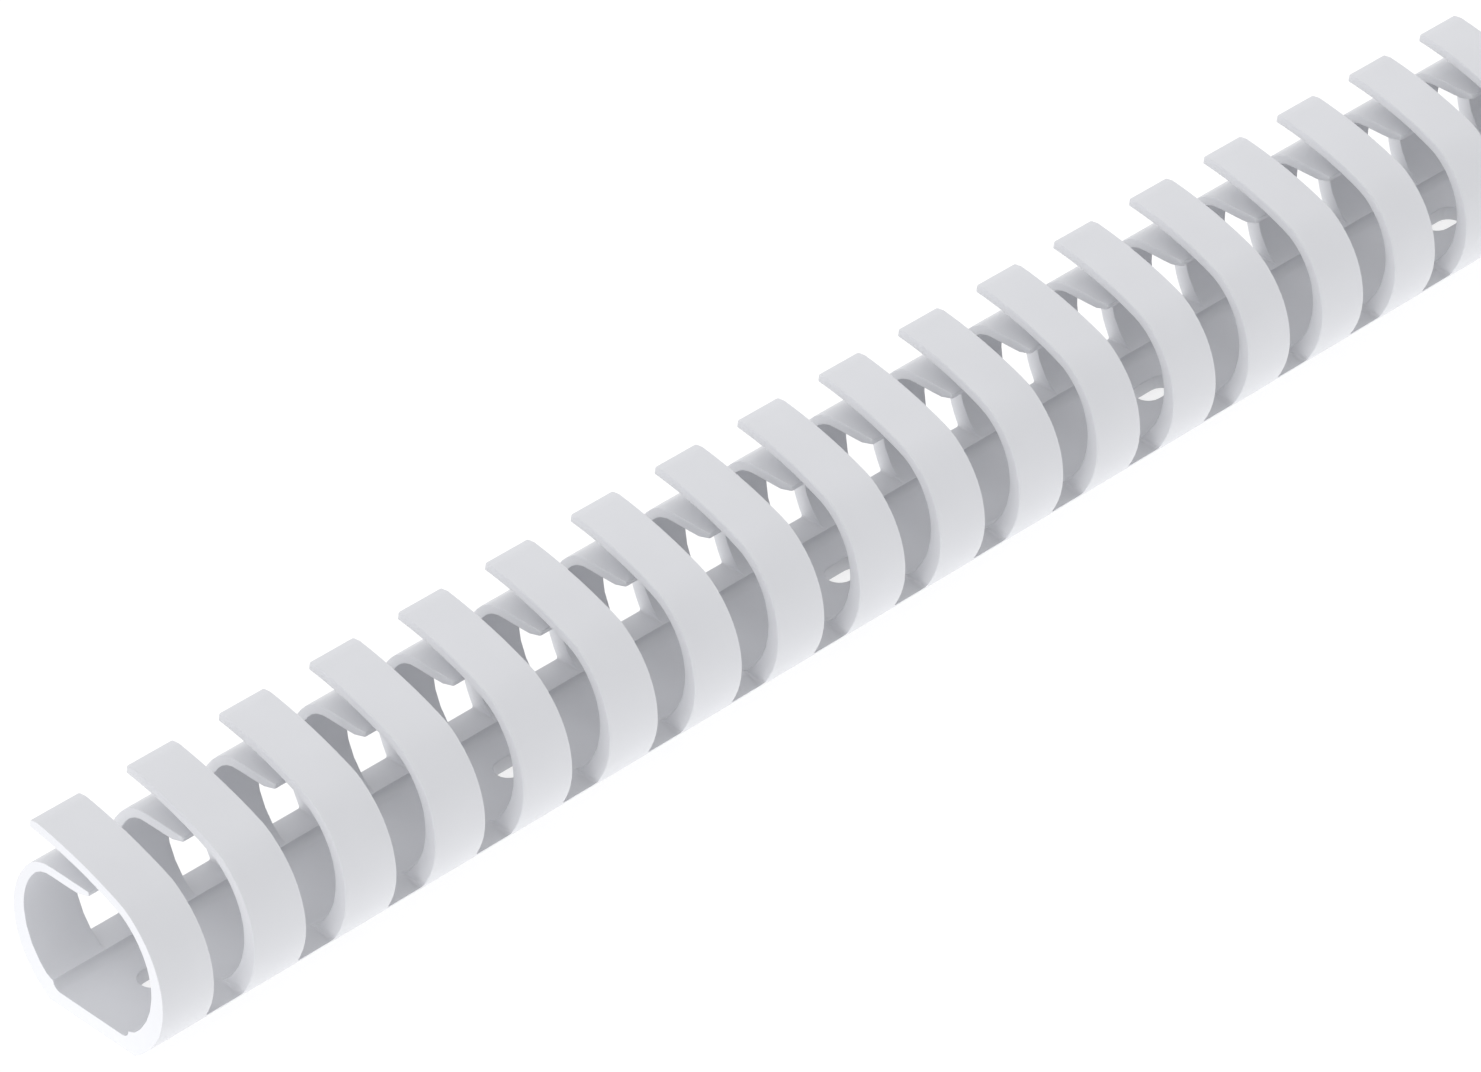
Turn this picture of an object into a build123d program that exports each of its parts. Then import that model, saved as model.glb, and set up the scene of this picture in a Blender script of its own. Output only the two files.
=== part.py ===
"""Flexible slotted wiring duct: one length of moulded polypropylene trunking.

The section is a round trough on a flat base. Both walls are slotted into combs of
curved fingers. The short fingers end in a flat lip above the middle of the trough,
and the long fingers of the other wall arch over them, so that a lead is pushed in
sideways between the two combs and can't fall out again.

X runs along the duct, the long fingers stand on the -Y side, and the origin is in
the middle of the underside. Sizes are in millimetres.
"""
import os
from math import acos, ceil, degrees

from build123d import *

# Length and comb
duct_length = 500.0
finger_pitch = 12.5
first_slot_middle = 9.62     # from the -X end, which is cut through the edge of a finger
slot_root_width = 5.1        # clear slot between two fingers, at its floor
slot_tip_width = 6.25        # clear slot between the tips of the long fingers
slot_floor_height = 2.8

# Outside of the section
duct_width = 22.8
duct_height = 22.5
base_width = 13.0            # flat underside that lies on the panel
belly_height = 8.9           # where the outside is widest

# Inside of the section
wall = 1.65                  # at the belly
base_thickness = 1.75
floor_width = 10.2           # flat floor between the two steps
step_run = 0.7               # width of the slope up each step
ledge_width = 0.7            # flat top of each step, level with the floors of the slots
inner_belly_height = 10.0    # where the inside is widest

# Long fingers
long_shoulder_inset = 4.45   # from the widest line in to the start of the shoulder
long_shoulder_drop = 4.35    # from the top of the duct down to the same point
long_shoulder_radius = 6.0
long_finger_climb = 22.5     # degrees, where the finger leaves the shoulder
long_tip_overhang = 7.4      # past the middle of the duct
long_finger_thickness = 1.2

# Short fingers
short_finger_drop = 4.75     # from the top of the duct down to the top of the short fingers
short_shoulder_inset = 2.8
short_shoulder_drop = 1.55
short_finger_thickness = 1.12
short_tip_overhang = 0.8     # past the middle of the duct
short_tip_thickness = 0.55
short_tip_bevel = 1.8        # length of the lead-in below the tip

# Screw holes in the base, each in the middle of a slot
hole_spacing = 50.0
hole_width = 3.3
hole_length = 5.8

half_width = duct_width / 2
short_finger_height = duct_height - short_finger_drop


def go_on(edge, end):
    """Arc from the end of an edge to a point, tangent to the edge."""
    return TangentArc(edge @ 1, end, tangent=edge % 1)


def wall_inside(edge, thickness, turn):
    """Point one thickness inside the end of an outer edge; turn is 1 if the hollow is on its left."""
    way = edge % 1
    return edge @ 1 + Vector(-way.Y, way.X) * thickness * turn


def level_off(edge, level):
    """Arc that goes on from an edge that rises to the right until it lies level."""
    start, way = edge @ 1, edge % 1
    radius = (level - start.Y) / (1 - way.X)
    return go_on(edge, (start.X + radius * way.Y, level))


def foot():
    """Wall below its widest line, on the right: outer face, inner face and the step to the floor."""
    outer = TangentArc((half_width, belly_height), (base_width / 2, 0), tangent=(0, -1))
    inner_belly = (half_width - wall, inner_belly_height)
    step_top = floor_width / 2 + step_run
    inner = TangentArc(inner_belly, (step_top + ledge_width, slot_floor_height), tangent=(0, -1))
    ledge = Line(inner @ 1, (step_top, slot_floor_height))
    step = Line(ledge @ 1, (floor_width / 2, base_thickness))
    return [outer, inner, ledge, step]


def long_finger():
    """Wall above its widest line, on the right, arching over to its tip on the left."""
    shoulder = (half_width - long_shoulder_inset, duct_height - long_shoulder_drop)
    rise = TangentArc((half_width, belly_height), shoulder, tangent=(0, 1))
    bend_angle = 180 - long_finger_climb - degrees(acos((rise % 1).X))
    bend = JernArc(rise @ 1, rise % 1, long_shoulder_radius, bend_angle)
    top = go_on(bend, (-long_tip_overhang, duct_height))

    inner_belly = (half_width - wall, inner_belly_height)
    inner_rise = TangentArc(inner_belly, wall_inside(rise, long_finger_thickness, 1), tangent=(0, 1))
    inner_bend = go_on(inner_rise, wall_inside(bend, long_finger_thickness, 1))
    underside = go_on(inner_bend, wall_inside(top, long_finger_thickness, 1))
    tip = Line(top @ 1, underside @ 1)
    return [rise, bend, top, tip, underside, inner_bend, inner_rise]


def short_finger():
    """Wall above its widest line, on the left, levelling off to its tip on the right."""
    shoulder = (short_shoulder_inset - half_width, short_finger_height - short_shoulder_drop)
    rise = TangentArc((-half_width, belly_height), shoulder, tangent=(0, 1))
    bend = level_off(rise, short_finger_height)
    top = Line(bend @ 1, (short_tip_overhang, short_finger_height))
    tip = Line(top @ 1, (short_tip_overhang, short_finger_height - short_tip_thickness))

    ceiling = short_finger_height - short_finger_thickness
    bevel = Line(tip @ 1, (short_tip_overhang - short_tip_bevel, ceiling))
    inner_belly = (wall - half_width, inner_belly_height)
    inner_rise = TangentArc(inner_belly, wall_inside(rise, short_finger_thickness, -1), tangent=(0, 1))
    inner_bend = level_off(inner_rise, ceiling)
    underside = Line(inner_bend @ 1, bevel @ 1)
    return [rise, bend, top, tip, bevel, underside, inner_bend, inner_rise]


def section():
    """Closed section as seen on the near end, with the long finger on the right."""
    right_foot = foot()
    left_foot = [edge.mirror(Plane.YZ) for edge in right_foot]
    underside = Line((-base_width / 2, 0), (base_width / 2, 0))
    floor = Line((-floor_width / 2, base_thickness), (floor_width / 2, base_thickness))
    return make_face(right_foot + left_foot + [underside, floor] + long_finger() + short_finger())


def comb_slots():
    """All the slots of both walls: each is narrow at its floor and opens towards the finger tips."""
    slot_height = duct_height - slot_floor_height
    sides = (slot_root_width / 2, slot_tip_width / 2)
    outline = Polyline(
        (-sides[0], 0), (sides[0], 0), (sides[1], slot_height), (-sides[1], slot_height), close=True
    )
    across = Plane(origin=(0, 0, slot_floor_height), x_dir=(1, 0, 0), z_dir=(0, -1, 0))
    cutter = extrude(across * make_face(outline), half_width, both=True)
    return [Pos(middle, 0, 0) * cutter for middle in slot_middles]


def end_gap():
    """What the cut at the +X end leaves of a finger is trimmed off, down to the floor of its slot."""
    gap = Box(
        duct_length / 2 - slot_middles[-1], duct_width, duct_height - slot_floor_height,
        align=(Align.MIN, Align.CENTER, Align.MIN),
    )
    return Pos(slot_middles[-1], 0, slot_floor_height) * gap


def screw_holes():
    """Oblong holes along the middle of the base."""
    cutter = extrude(SlotOverall(hole_length, hole_width), base_thickness)
    return [Pos(middle, 0, 0) * cutter for middle in hole_middles]


# The duct starts with a finger at its -X end, and a slot follows every whole finger
first_finger_width = first_slot_middle - slot_root_width / 2
slot_count = ceil((duct_length - first_finger_width) / finger_pitch)
slot_middles = [first_slot_middle + finger_pitch * i - duct_length / 2 for i in range(slot_count)]
slots_per_hole = max(1, round(hole_spacing / finger_pitch))
hole_middles = slot_middles[::slots_per_hole]

near_end = Plane(origin=(-duct_length / 2, 0, 0), x_dir=(0, -1, 0), z_dir=(-1, 0, 0))
slotted_duct = extrude(near_end * section(), -duct_length)
slotted_duct = slotted_duct - comb_slots() - end_gap() - screw_holes()

os.makedirs("parts", exist_ok=True)
export_step(slotted_duct.solid(), "parts/slotted_duct.step")
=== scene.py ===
"""Looks of a flexible slotted wiring duct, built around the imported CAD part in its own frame.

Sizes are in millimetres and are turned into Blender's metres when a mesh is made. X runs along the
duct, the long fingers stand on the -Y side, and the underside lies on the floor at Z = 0.
"""
from math import acos, cos, pi, radians, sin, sqrt

import bmesh
import bpy
import numpy as np
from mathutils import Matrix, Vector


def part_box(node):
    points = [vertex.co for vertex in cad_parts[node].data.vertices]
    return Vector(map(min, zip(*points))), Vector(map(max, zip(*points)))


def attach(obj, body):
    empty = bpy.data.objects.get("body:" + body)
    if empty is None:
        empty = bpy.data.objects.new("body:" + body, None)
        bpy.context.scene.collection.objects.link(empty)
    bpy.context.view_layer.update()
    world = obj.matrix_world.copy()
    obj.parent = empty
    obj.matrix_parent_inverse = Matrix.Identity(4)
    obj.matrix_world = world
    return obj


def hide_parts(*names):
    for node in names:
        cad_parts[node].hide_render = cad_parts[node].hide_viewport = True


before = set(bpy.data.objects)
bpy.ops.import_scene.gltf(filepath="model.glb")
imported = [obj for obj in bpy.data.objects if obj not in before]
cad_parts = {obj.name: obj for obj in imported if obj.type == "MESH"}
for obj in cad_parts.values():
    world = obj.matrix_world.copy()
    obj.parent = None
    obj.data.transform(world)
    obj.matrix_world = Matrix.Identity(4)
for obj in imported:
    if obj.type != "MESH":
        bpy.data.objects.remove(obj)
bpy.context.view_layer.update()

# Wiring duct: one moulding of polypropylene. A round trough on a flat base carries two combs of
# springy fingers, short ones with a flat lip and long ones that arch over them. The lengths are
# moulded end to end and sawn apart, so the ends are flat and sharp and everything else is rounded.
MM = 0.001
low, high = (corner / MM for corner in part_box("slotted_duct"))
duct_length = high.x - low.x
duct_height = high.z - low.z
half_width = (high.y - low.y) / 2

finger_pitch = 12.5
first_slot_middle = 9.62     # from the near end
slot_root_width = 5.1
slot_tip_width = 6.25
slot_floor = 2.8
slot_middles = np.arange(first_slot_middle, duct_length, finger_pitch)

base_half = 6.5
belly_height = 8.9           # where the outside is widest
wall = 1.65
floor_level = 1.75
step_top_half = 5.8          # where the step beside the floor of the trough reaches its ledge
ledge_half = 5.9             # where the ledge reaches the inside of the wall
fillet_start = (7.1, 3.45)   # where the inside of a finger begins to run out on to the ledge
inner_belly_height = 10.0    # where the inside is widest

UP, DOWN = (0, 1), (0, -1)
line_steps = 60              # the outer and inner lines of a finger pair up point by point


def arc(start, heading, end, steps=line_steps):
    """Points of the circle that leaves start along heading and passes through end. Its radius is
    the chord squared over twice the chord's part square to the heading, and it turns through twice
    the angle between the heading and the chord. Returns the points and the heading at the end."""
    start, along, chord = (np.asarray(v, float) for v in (start, heading, np.subtract(end, start)))
    side = np.array([-along[1], along[0]])
    radius = chord @ chord / (2 * chord @ side)
    turn = np.linspace(0, 2 * np.arctan2(chord @ side, chord @ along), steps + 1)
    points = start + radius * (np.outer(np.sin(turn), along) + np.outer(1 - np.cos(turn), side))
    return points, along * cos(turn[-1]) + side * sin(turn[-1])


def inside(point, heading, thickness):
    """The point one thickness to the left of a point of the outer face, square to its heading."""
    return np.asarray(point) + thickness * np.array([-heading[1], heading[0]])


def level_off(start, heading, level):
    """The arc that goes on from start until it runs level, with a radius of the climb that is left
    over one less the level part of the heading."""
    radius = (level - start[1]) / (1 - abs(heading[0]))
    end = (start[0] + np.sign(heading[0]) * radius * heading[1], level)
    return arc(start, heading, end)


def join(*pieces):
    """One line of points from several that follow each other, with each shared point once."""
    return np.vstack([pieces[0]] + [piece[1:] for piece in pieces[1:]])


# The wall below its widest line is the same on both sides. Across is positive towards the long
# fingers, which is the -Y side.
foot_run_in = half_width - base_half
foot_radius = (belly_height**2 + foot_run_in**2) / (2 * foot_run_in)
root_outer = half_width - foot_radius + sqrt(foot_radius**2 - (belly_height - slot_floor) ** 2)
belly = (half_width, belly_height)
inner_belly = (half_width - wall, inner_belly_height)
fillet_steps = 20
foot_outer, foot_heading = arc(belly, DOWN, (root_outer, slot_floor))
skirt, _ = arc(foot_outer[-1], foot_heading, (base_half, 0), steps=4)
foot_inner, fillet_heading = arc(inner_belly, DOWN, fillet_start, steps=line_steps - fillet_steps)
fillet, _ = arc(fillet_start, fillet_heading, (ledge_half, slot_floor), steps=fillet_steps)
foot_inner = join(foot_inner, fillet)

# Long finger: it rises to a shoulder, bends over it and climbs gently to its tip.
long_shoulder_inset = 4.45   # from the widest line in to the start of the shoulder
long_shoulder_drop = 4.35    # from the top of the duct down to the same point
long_shoulder = (half_width - long_shoulder_inset, duct_height - long_shoulder_drop)
long_shoulder_radius = 6.0
long_climb = radians(22.5)
long_tip_overhang = 7.4
long_tip_reach = 0.3         # how far the bevelled tip goes on past the solid's blunt one
long_thickness = 1.2
long_rise, rise_heading = arc(belly, UP, long_shoulder)
bend_turn = pi - long_climb - acos(rise_heading[0])
bend_side = np.array([-rise_heading[1], rise_heading[0]])
bend_way = sin(bend_turn) * rise_heading + (1 - cos(bend_turn)) * bend_side
bend_end = long_rise[-1] + long_shoulder_radius * bend_way
long_bend, bend_heading = arc(long_rise[-1], rise_heading, bend_end)
_, tip_heading = arc(bend_end, bend_heading, (-long_tip_overhang, duct_height))
tip_end = np.array([-long_tip_overhang, duct_height]) + long_tip_reach * tip_heading
top, tip_heading = arc(bend_end, bend_heading, tip_end)
inner_line, heading = arc(inner_belly, UP, inside(long_rise[-1], rise_heading, long_thickness))
inner_bend, heading = arc(inner_line[-1], heading, inside(bend_end, bend_heading, long_thickness))
underside, _ = arc(inner_bend[-1], heading, inside(top[-1], tip_heading, long_thickness))
long_outer = join(foot_outer[::-1], long_rise, long_bend, top)
long_inner = join(foot_inner[::-1], inner_line, inner_bend, underside)

# Short finger: it is drawn on the same side and mirrored. Its lip is flat above and thins towards
# the tip.
short_finger_drop = 4.75     # from the top of the duct down to the top of the lip
short_shoulder_inset = 2.8
short_shoulder_drop = 1.55
short_top = duct_height - short_finger_drop
short_shoulder = (half_width - short_shoulder_inset, short_top - short_shoulder_drop)
short_thickness = 1.12
short_tip_overhang = 0.8
short_tip_thickness = 0.55
short_tip_bevel = 1.8
short_rise, rise_heading = arc(belly, UP, short_shoulder)
short_bend, _ = level_off(short_rise[-1], rise_heading, short_top)
inner_line, heading = arc(inner_belly, UP, inside(short_rise[-1], rise_heading, short_thickness))
inner_bend, _ = level_off(inner_line[-1], heading, short_top - short_thickness)
bevel_start = short_tip_bevel - short_tip_overhang
tip_underside = (-short_tip_overhang, short_top - short_tip_thickness)
lip = np.linspace(short_bend[-1], (bevel_start, short_top), line_steps + 1)
lip_end = np.linspace(lip[-1], (-short_tip_overhang, short_top), line_steps + 1)
ceiling = np.linspace(inner_bend[-1], (bevel_start, short_top - short_thickness), line_steps + 1)
bevel = np.linspace(ceiling[-1], tip_underside, line_steps + 1)
mirror = np.array([-1, 1])
short_outer = mirror * join(foot_outer[::-1], short_rise, short_bend, lip, lip_end)
short_inner = mirror * join(foot_inner[::-1], inner_line, inner_bend, ceiling, bevel)

# The ring of points round a finger: two corners, the outer face, two corners and the inner face.
# Each corner point is a share of the corner's radius away from the edge and from the face. The
# faces have columns of points at the same places along X on both sides of the duct.
plan_radius = 0.25           # corners of the tips, seen from above
nose_radius = 0.1            # edges of the tips, seen from the side
edge_run_in = 1.5            # the edges of a finger grow round over this length from its root
crease_half = 0.04           # the stations on each side of the crease where a tip's bevel begins
crease_approach = 0.3        # the evenly spaced stations end this far before the crease
least_column_gap = 0.01      # a column nearer than this to the edge of a root is left out
root_angles = np.radians([0, 18, 36, 54, 72])
tip_angles = np.radians([0, 15, 30, 45, 60, 75, 90])
corner_angles = np.radians([0, 30, 60, 90])
column_places = np.array([2.3, 3.1, 4.1])   # from the middle of the slot
sawn_columns = (1.0, 2.0)                   # from the sawn end


def draw_in(radius, distance):
    """How far a quarter circle lies in at a distance from its end: its radius, less the height of
    the circle over the part of the radius that is left."""
    return radius * (1 - np.sqrt(1 - np.clip(1 - distance / radius, 0, 1) ** 2))


def finger(outer, inner, near, far, steps, root_radius, edge_radius, tip_run, tip_drop, sawn):
    """A rounded rectangle carried up a finger, as a grid of stations by points round the ring.
    The two faces are the given outlines, and at each height the edges stand half a slot away from
    the middles of the slots beside the finger, near and far. Quarter circles widen the finger at
    its root. The corner radius grows from nothing at the root. At the tip a straight bevel lowers
    the outer face, and quarter circles draw in the thickness and the width. A sawn finger is flat
    and sharp on its near side, at the end of the duct."""
    reach = np.r_[0, np.cumsum(np.linalg.norm(np.diff(outer, axis=0), axis=1))]
    crease = reach[-1] - tip_run
    stations = np.r_[root_radius * (1 - np.cos(root_angles)),
                     np.linspace(root_radius, crease - crease_approach, steps),
                     crease - crease_half, crease + crease_half,
                     reach[-1] - plan_radius * (1 - np.sin(tip_angles))]
    stations = np.unique(np.round(stations, 6))
    on_outer, on_inner = (
        np.stack([np.interp(stations, reach, line[:, i]) for i in (0, 1)], -1)
        for line in (outer, inner)
    )
    middle, half = (on_outer + on_inner) / 2, (on_outer - on_inner) / 2
    half_thickness = np.linalg.norm(half, axis=1)
    from_tip = reach[-1] - stations
    thickness_left = half_thickness - draw_in(nose_radius, from_tip)
    bevel_drop = tip_drop * np.clip(1 - from_tip / tip_run, 0, 1)
    growth = np.clip(stations / edge_run_in, 0, 1)
    radius = np.minimum(edge_radius * growth * growth * (3 - 2 * growth), thickness_left)

    from_edge = column_places - (slot_root_width / 2 - root_radius)
    far_columns = from_edge[from_edge > least_column_gap]
    near_columns = sawn_columns if sawn else far_columns
    away, down = 1 - np.cos(corner_angles), 1 - np.sin(corner_angles)
    ring = []
    for sign, order in ((1, 1), (-1, -1)):
        corner = [(0, a, d, 0) for a, d in zip(away, down)]
        face = [(0, 0, 0, c) for c in near_columns] + [(1, 0, 0, -c) for c in far_columns[::-1]]
        opposite = [(1, a, d, 0) for a, d in zip(away[::-1], down[::-1])]
        ring += [(sign, *p) for p in (corner + face + opposite)[::order]]
    sign, share, away, down, column = np.array(ring).T

    radius = radius[:, None] * np.where(sawn & (share == 0), 0, 1)
    surface = thickness_left[:, None] - bevel_drop[:, None] * (sign > 0) - radius * down
    level = sign * surface / half_thickness[:, None]
    across = middle[:, None] + level[..., None] * half[:, None]
    height = across[..., 1]
    widening = (height - slot_floor) / (duct_height - slot_floor)
    gap = (slot_root_width + (slot_tip_width - slot_root_width) * widening) / 2
    drawn = (draw_in(plan_radius, from_tip) - draw_in(root_radius, stations))[:, None]
    near_edge = np.zeros_like(gap) if sawn else near + gap + drawn
    far_edge = far - gap - drawn
    x = near_edge + share * (far_edge - near_edge) + column + radius * away * (1 - 2 * share)
    return np.stack([x, -across[..., 0], height], axis=-1)


def sheet_faces(rows, columns, closed=False):
    """The quads of a grid of points. Each joins a point, the next one in its row and the two above
    them. Where the grid is closed, the last point of a row is joined to its first."""
    across = np.arange(columns if closed else columns - 1)
    i, j = np.meshgrid(np.arange(rows - 1), across, indexing="ij")
    right = (j + 1) % columns
    above = (i + 1) * columns
    return np.stack([i * columns + j, i * columns + right, above + right, above + j], -1)


class Shell:
    """Points and faces of the moulding as they are added, patch by patch."""

    def __init__(self):
        self.points, self.faces, self.count = [], [], 0

    def add(self, points, faces):
        """Adds points, and faces that count from the first of them."""
        points = np.asarray(points, float).reshape(-1, 3)
        self.points.append(points)
        self.faces += (np.asarray(faces) + self.count).tolist()
        self.count += len(points)

    def add_grid(self, grid, closed=False, keep=None):
        """Adds a grid of points with its quads, or only those that keep marks."""
        faces = sheet_faces(*grid.shape[:2], closed)
        self.add(grid, faces[keep] if keep is not None else faces.reshape(-1, 4))


# The corners between fingers and slot floors are rounder at the long fingers. Only the long tips
# have a bevel that shows.
long_root_radius, short_root_radius = 0.5, 0.25
long_shape = dict(steps=29, root_radius=long_root_radius, edge_radius=0.15,
                  tip_run=1.0, tip_drop=0.3)
short_shape = dict(steps=20, root_radius=short_root_radius, edge_radius=0.08,
                   tip_run=0.15, tip_drop=0.02)
combs = ((long_outer, long_inner, long_shape), (short_outer, short_inner, short_shape))
moulding = Shell()
for number, far in enumerate(slot_middles):
    for outer, inner, shape in combs:
        grid = finger(outer, inner, far - finger_pitch, far, sawn=number == 0, **shape)
        moulding.add_grid(grid, closed=True)
        half_ring = grid.shape[1] // 2
        moulding.add_grid(np.stack([grid[-1, :half_ring], grid[-1, :half_ring - 1:-1]]))

# The trough under the fingers: its section carried along X. The columns of points meet the roots
# of the fingers, and the cells under the roots and round the screw holes are left open.
hole_half_width = 1.65
hole_half_length = 2.9
hole_frame_half = 2.4
hole_edge_radius = 0.08
slots_per_hole = 4
end_clearance = 0.5          # a column nearer than this to the far end is left out
straight = hole_half_length - hole_half_width
long_root = slot_root_width / 2 - long_root_radius
short_root = slot_root_width / 2 - short_root_radius
strip = np.linspace(-hole_frame_half, hole_frame_half, 7)   # across the middle of the base
step_start = (step_top_half - (slot_floor - floor_level), floor_level)
step, _ = arc(step_start, (1, 0), (step_top_half, slot_floor), steps=5)
right_side = np.vstack([skirt[::-1], [(ledge_half, slot_floor)], step[::-1]])
outline = np.vstack([
    [(across, 0) for across in strip],
    right_side,
    [(across, floor_level) for across in strip[::-1]],
    (right_side * mirror)[::-1],
])
half_columns = np.r_[straight, long_root, column_places]
slot_columns = np.r_[-half_columns[::-1], 0, half_columns]
columns = (slot_middles[:, None] + slot_columns).ravel()
columns = columns[columns < duct_length - end_clearance]
columns = np.r_[0, sawn_columns, columns, duct_length]

trough = np.empty((len(columns), len(outline), 3))
trough[..., 0] = columns[:, None]
trough[..., 1:] = outline * mirror
cell_middles = (columns[1:] + columns[:-1]) / 2
from_slot = np.abs(cell_middles[:, None] - slot_middles).min(axis=1)
from_slot[cell_middles > slot_middles[-1]] = 0   # no finger stands past the last slot
hole_middles = slot_middles[::slots_per_hole]
from_hole = np.abs(cell_middles[:, None] - hole_middles).min(axis=1)

cell = (outline + np.roll(outline, -1, axis=0)) / 2
is_slot_floor = np.isclose(cell[:, 1], slot_floor) & (np.abs(cell[:, 0]) > ledge_half)
cell_root = np.where(cell[:, 0] > 0, long_root, short_root)
under_root = (from_slot[:, None] > cell_root) & is_slot_floor
round_hole = (from_hole < column_places[-1])[:, None] & (np.abs(cell[:, 0]) < hole_frame_half)
moulding.add_grid(trough, closed=True, keep=~under_root & ~round_hole)
for end in (trough[0], trough[-1]):
    moulding.add(end, [np.arange(len(outline))])


def hole(middle):
    """The patch round a screw hole. Each point of the oblong lies one hole radius from the straight
    line between its two centres, towards the point of the frame that it belongs to, and the rows
    go from the frame to the hole above, down its wall, and out to the frame below."""
    x, inner = slot_columns, strip[1:-1]
    frame_x = np.r_[x, np.full(len(inner), x[-1]), x[::-1], np.full(len(inner), x[0])]
    frame_y = np.r_[np.full(len(x), strip[0]), inner, np.full(len(x), strip[-1]), inner[::-1]]
    edge = np.stack([frame_x, frame_y], -1)
    centre = np.stack([np.clip(frame_x, -straight, straight), 0 * frame_x], -1)
    way = edge - centre
    way /= np.linalg.norm(way, axis=1)[:, None]
    rim = centre + (hole_half_width + hole_edge_radius) * way
    bore = centre + hole_half_width * way
    rows = [(edge, floor_level), (rim, floor_level), (bore, floor_level - hole_edge_radius),
            (bore, 0), (edge, 0)]
    return np.stack([np.c_[middle + p[:, 0], p[:, 1], np.full(len(p), z)] for p, z in rows])


for middle in hole_middles:
    moulding.add_grid(hole(middle), closed=True)

merge_distance = 0.0002 * MM
crease_angle = radians(35)


def mesh_object(name, shell):
    """One closed mesh of a shell's patches: shared points merged, faces outward, and smooth but for
    the edges that turn by more than the crease angle."""
    points = np.vstack(shell.points) * MM + [low.x * MM, 0, 0]
    mesh = bpy.data.meshes.new(name)
    mesh.from_pydata(points, [], shell.faces)
    work = bmesh.new()
    work.from_mesh(mesh)
    bmesh.ops.remove_doubles(work, verts=work.verts, dist=merge_distance)
    bmesh.ops.dissolve_degenerate(work, edges=work.edges, dist=merge_distance)
    bmesh.ops.recalc_face_normals(work, faces=work.faces)
    work.to_mesh(mesh)
    work.free()
    mesh.shade_smooth()
    mesh.set_sharp_from_angle(angle=crease_angle)
    piece = bpy.data.objects.new(name, mesh)
    bpy.context.scene.collection.objects.link(piece)
    return piece


duct = mesh_object("duct", moulding)


def linear(hex_colour):
    """A colour written as sRGB hex, as the linear values that a shader takes. Each share plus 0.055
    is divided by 1.055 and raised to the power 2.4, or divided by 12.92 where it is very dark."""
    share = np.array([int(hex_colour[i:i + 2], 16) for i in (1, 3, 5)]) / 255
    return (*np.where(share > 0.04045, ((share + 0.055) / 1.055) ** 2.4, share / 12.92), 1)


def add_node(tree, kind, links=(), **settings):
    """Adds a node, sets its sockets and properties by name, and links (socket, output) pairs."""
    node = tree.nodes.new(kind)
    for name, value in settings.items():
        if hasattr(node, name):
            setattr(node, name, value)
        else:
            node.inputs[name.replace("_", " ")].default_value = value
    for socket, output in links:
        tree.links.new(output, node.inputs[socket])
    return node


# Polypropylene, moulded: a pale cool grey with a satin skin. A fine grain from the spark-eroded
# tool breaks up the sheen, and slow patches of more and less gloss show where the melt cooled
# unevenly. The grain is 0.35 mm across, some four times the real one, so that it shows.
patch_size = 9.0
grain_size = 0.35
grain_depth = 0.01
polypropylene_ior = 1.49
plastic = bpy.data.materials.new("polypropylene, moulded")
plastic.use_nodes = True
tree = plastic.node_tree
tree.nodes.clear()
place = add_node(tree, "ShaderNodeTexCoord").outputs["Object"]
patches = add_node(tree, "ShaderNodeTexNoise", [("Vector", place)],
                   Scale=1 / (patch_size * MM), Detail=3.0)
gloss = add_node(tree, "ShaderNodeMapRange", [("Value", patches.outputs["Fac"])],
                 From_Min=0.3, From_Max=0.7, To_Min=0.36, To_Max=0.46)
tone = add_node(tree, "ShaderNodeMix", [("Factor", patches.outputs["Fac"])], data_type="RGBA")
tone.inputs["A"].default_value = linear("#CACBCF")
tone.inputs["B"].default_value = linear("#D0D1D5")
grain = add_node(tree, "ShaderNodeTexNoise", [("Vector", place)],
                 Scale=1 / (grain_size * MM), Detail=2.0)
skin_bump = add_node(tree, "ShaderNodeBump", [("Height", grain.outputs["Fac"])],
                     Strength=0.15, Distance=grain_depth * MM)
skin = add_node(tree, "ShaderNodeBsdfPrincipled",
                [("Base Color", tone.outputs["Result"]), ("Roughness", gloss.outputs["Result"]),
                 ("Normal", skin_bump.outputs["Normal"])], IOR=polypropylene_ior)

# The sawn ends are paler and matt, with upright saw marks. A point is on them where it lies within
# a hundredth of a millimetre of either end.
saw_mark_spacing = 2.5
saw_mark_depth = 0.02
sawn_depth = 0.01
marks = add_node(tree, "ShaderNodeTexWave", [("Vector", place)], bands_direction="Y",
                 Scale=1 / (saw_mark_spacing * MM), Distortion=3.0, Detail=2.0)
cut_bump = add_node(tree, "ShaderNodeBump", [("Height", marks.outputs["Fac"])],
                    Strength=0.2, Distance=saw_mark_depth * MM)
cut = add_node(tree, "ShaderNodeBsdfPrincipled", [("Normal", cut_bump.outputs["Normal"])],
               Base_Color=linear("#D3D4D8"), Roughness=0.7, IOR=polypropylene_ior)
along_duct = add_node(tree, "ShaderNodeSeparateXYZ", [("Vector", place)]).outputs["X"]
from_middle = add_node(tree, "ShaderNodeMath", [(0, along_duct)], operation="ABSOLUTE")
at_end = add_node(tree, "ShaderNodeMath", [(0, from_middle.outputs[0])], operation="GREATER_THAN")
at_end.inputs[1].default_value = (duct_length / 2 - sawn_depth) * MM
duct_surface = add_node(tree, "ShaderNodeMixShader",
                        [(0, at_end.outputs[0]), (1, skin.outputs[0]), (2, cut.outputs[0])])
add_node(tree, "ShaderNodeOutputMaterial", [("Surface", duct_surface.outputs[0])])
duct.data.materials.append(plastic)

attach(duct, "root")
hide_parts("slotted_duct")

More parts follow.
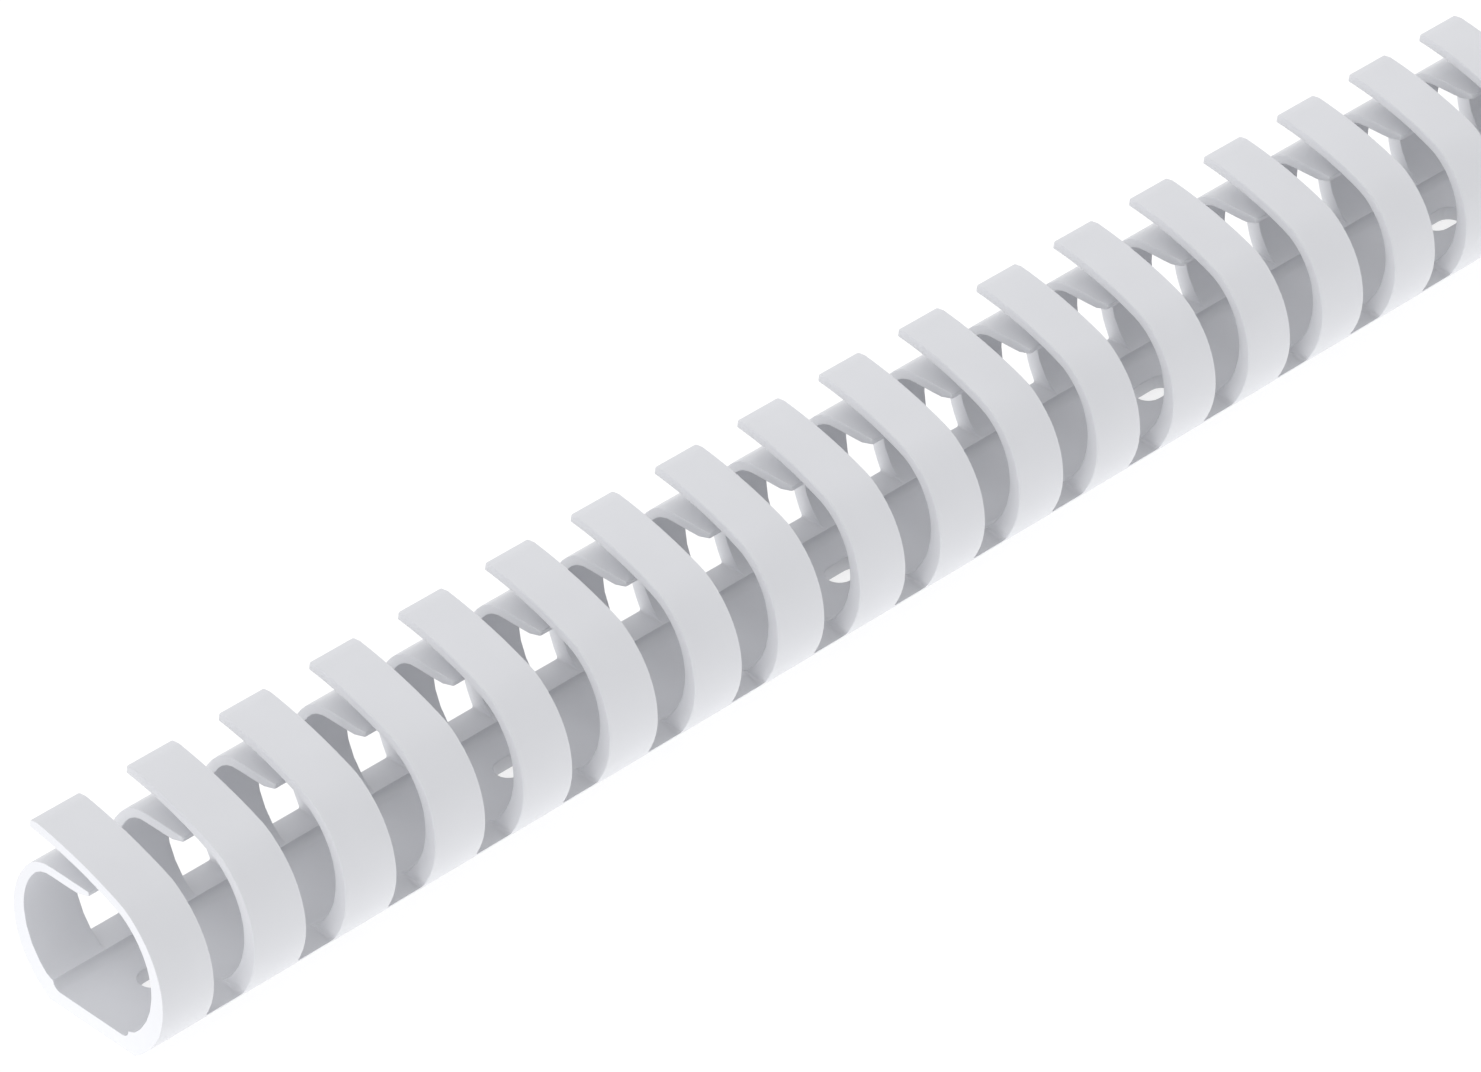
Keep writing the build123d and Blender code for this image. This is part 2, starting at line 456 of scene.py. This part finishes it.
# Floor: a white table top, lit through from below, so that it shows white and throws light upwards.
# About two thirds of what it gives is its own light. The rest keeps the duct's shadow. The light is
# strongest close beside the duct, and weaker under its foot, where the screw holes open on it.
floor_half_size = 3.0        # metres
floor_height = -0.02 * MM    # a hair below the duct, so that the two faces don't show through
own_light = 0.65             # its share of the mixture
seen_level = 1.1             # of the own light, as the camera and reflections see it
foot_level = 1.1             # of the own light that is thrown upwards under the foot of the duct,
near_level = 2.1             # close beside the duct,
far_level = 1.5              # and where the pool of light beside it ends
pool_width = 30.0
foot_share = 0.98            # how much of the foot's outline the weaker patch takes up


def seen_rays(tree):
    """One for what the camera sees, straight, off a shiny surface or through a clear one, and zero
    for the light that falls on things: the largest of three marks that a ray carries."""
    path = add_node(tree, "ShaderNodeLightPath").outputs
    seen = path["Is Camera Ray"]
    for other in ("Is Glossy Ray", "Is Transmission Ray"):
        either = add_node(tree, "ShaderNodeMath", [(0, seen), (1, path[other])],
                          operation="MAXIMUM")
        seen = either.outputs[0]
    return seen


mesh = bpy.data.meshes.new("floor")
corners = np.array([(-1, -1), (1, -1), (1, 1), (-1, 1)]) * floor_half_size
mesh.from_pydata(np.c_[corners, np.full(4, floor_height)], [], [(0, 1, 2, 3)])
floor = bpy.data.objects.new("floor", mesh)
bpy.context.scene.collection.objects.link(floor)
table = bpy.data.materials.new("laminate, white")
table.use_nodes = True
tree = table.node_tree
tree.nodes.clear()
lit = add_node(tree, "ShaderNodeBsdfDiffuse", Color=linear("#F4F4F4"))
place = add_node(tree, "ShaderNodeTexCoord").outputs["Object"]
distance = add_node(tree, "ShaderNodeVectorMath", [(0, place)], operation="ABSOLUTE").outputs[0]
sideways = add_node(tree, "ShaderNodeSeparateXYZ", [("Vector", distance)]).outputs["Y"]
of_foot = add_node(tree, "ShaderNodeVectorMath", [(0, distance)], operation="DIVIDE")
of_foot.inputs[1].default_value = (duct_length / 2 * MM, base_half * MM, 1)
shares = add_node(tree, "ShaderNodeSeparateXYZ", [("Vector", of_foot.outputs[0])]).outputs
larger = add_node(tree, "ShaderNodeMath", [(0, shares["X"]), (1, shares["Y"])],
                  operation="MAXIMUM")
beside = add_node(tree, "ShaderNodeMath", [(0, larger.outputs[0])], operation="GREATER_THAN")
beside.inputs[1].default_value = foot_share
pool = add_node(tree, "ShaderNodeMapRange", [("Value", sideways)],
                From_Min=base_half * MM, From_Max=(base_half + pool_width) * MM,
                To_Min=near_level, To_Max=far_level)
upwards = add_node(tree, "ShaderNodeMapRange",
                   [("Value", beside.outputs[0]), ("To Max", pool.outputs["Result"])],
                   To_Min=foot_level)
strength = add_node(tree, "ShaderNodeMapRange",
                    [("Value", seen_rays(tree)), ("To Min", upwards.outputs["Result"])],
                    To_Max=seen_level)
glow = add_node(tree, "ShaderNodeEmission", [("Strength", strength.outputs["Result"])])
table_surface = add_node(tree, "ShaderNodeMixShader",
                         [(1, lit.outputs[0]), (2, glow.outputs[0])], Fac=own_light)
add_node(tree, "ShaderNodeOutputMaterial", [("Surface", table_surface.outputs[0])])
floor.data.materials.append(table)

# Light: a white studio tent, brightest at the two ends of the duct, and less so overhead, where it
# leans a little to the short-finger side. What the camera and reflections see of it is plain white.
end_light = 1.7
overhead_light = 1.15
overhead_way = (0, 0.25, 0.97)
world = bpy.data.worlds.new("studio tent")
world.use_nodes = True
bpy.context.scene.world = world
tree = world.node_tree
tree.nodes.clear()
towards = add_node(tree, "ShaderNodeTexCoord").outputs["Generated"]
towards_end = add_node(tree, "ShaderNodeSeparateXYZ", [("Vector", towards)]).outputs["X"]
either_end = add_node(tree, "ShaderNodeMath", [(0, towards_end)], operation="ABSOLUTE")
upward = add_node(tree, "ShaderNodeVectorMath", [(0, towards)], operation="DOT_PRODUCT")
upward.inputs[1].default_value = overhead_way
above = add_node(tree, "ShaderNodeMath", [(0, upward.outputs["Value"])], operation="MAXIMUM")
above.inputs[1].default_value = 0
overhead = add_node(tree, "ShaderNodeMath", [(0, above.outputs[0])], operation="MULTIPLY")
overhead.inputs[1].default_value = overhead_light
all_round = add_node(tree, "ShaderNodeMath",
                     [(0, either_end.outputs[0]), (2, overhead.outputs[0])],
                     operation="MULTIPLY_ADD")
all_round.inputs[1].default_value = end_light
tent = add_node(tree, "ShaderNodeBackground", [("Strength", all_round.outputs[0])])
backdrop = add_node(tree, "ShaderNodeBackground", Strength=1.0)
sky = add_node(tree, "ShaderNodeMixShader",
               [(0, seen_rays(tree)), (1, tent.outputs[0]), (2, backdrop.outputs[0])])
add_node(tree, "ShaderNodeOutputWorld", [("Surface", sky.outputs[0])])

# Camera: at the photograph's viewing angle, over the long-finger side of the near end. It looks
# along the duct and across it in equal parts, and down at the angle of an isometric view.
looking_down = 35.264
camera_data = bpy.data.cameras.new("camera")
camera_data.lens = 183.4
camera_data.sensor_width = 36
camera_data.shift_x = 0.0051
camera_data.clip_start, camera_data.clip_end = 0.05, 20
camera = bpy.data.objects.new("camera", camera_data)
camera.location = (-0.62525, -0.46713, 0.48215)
camera.rotation_euler = (radians(90 - looking_down), 0, radians(-45))
bpy.context.scene.collection.objects.link(camera)
bpy.context.scene.camera = camera
bpy.context.scene.view_settings.view_transform = "Standard"
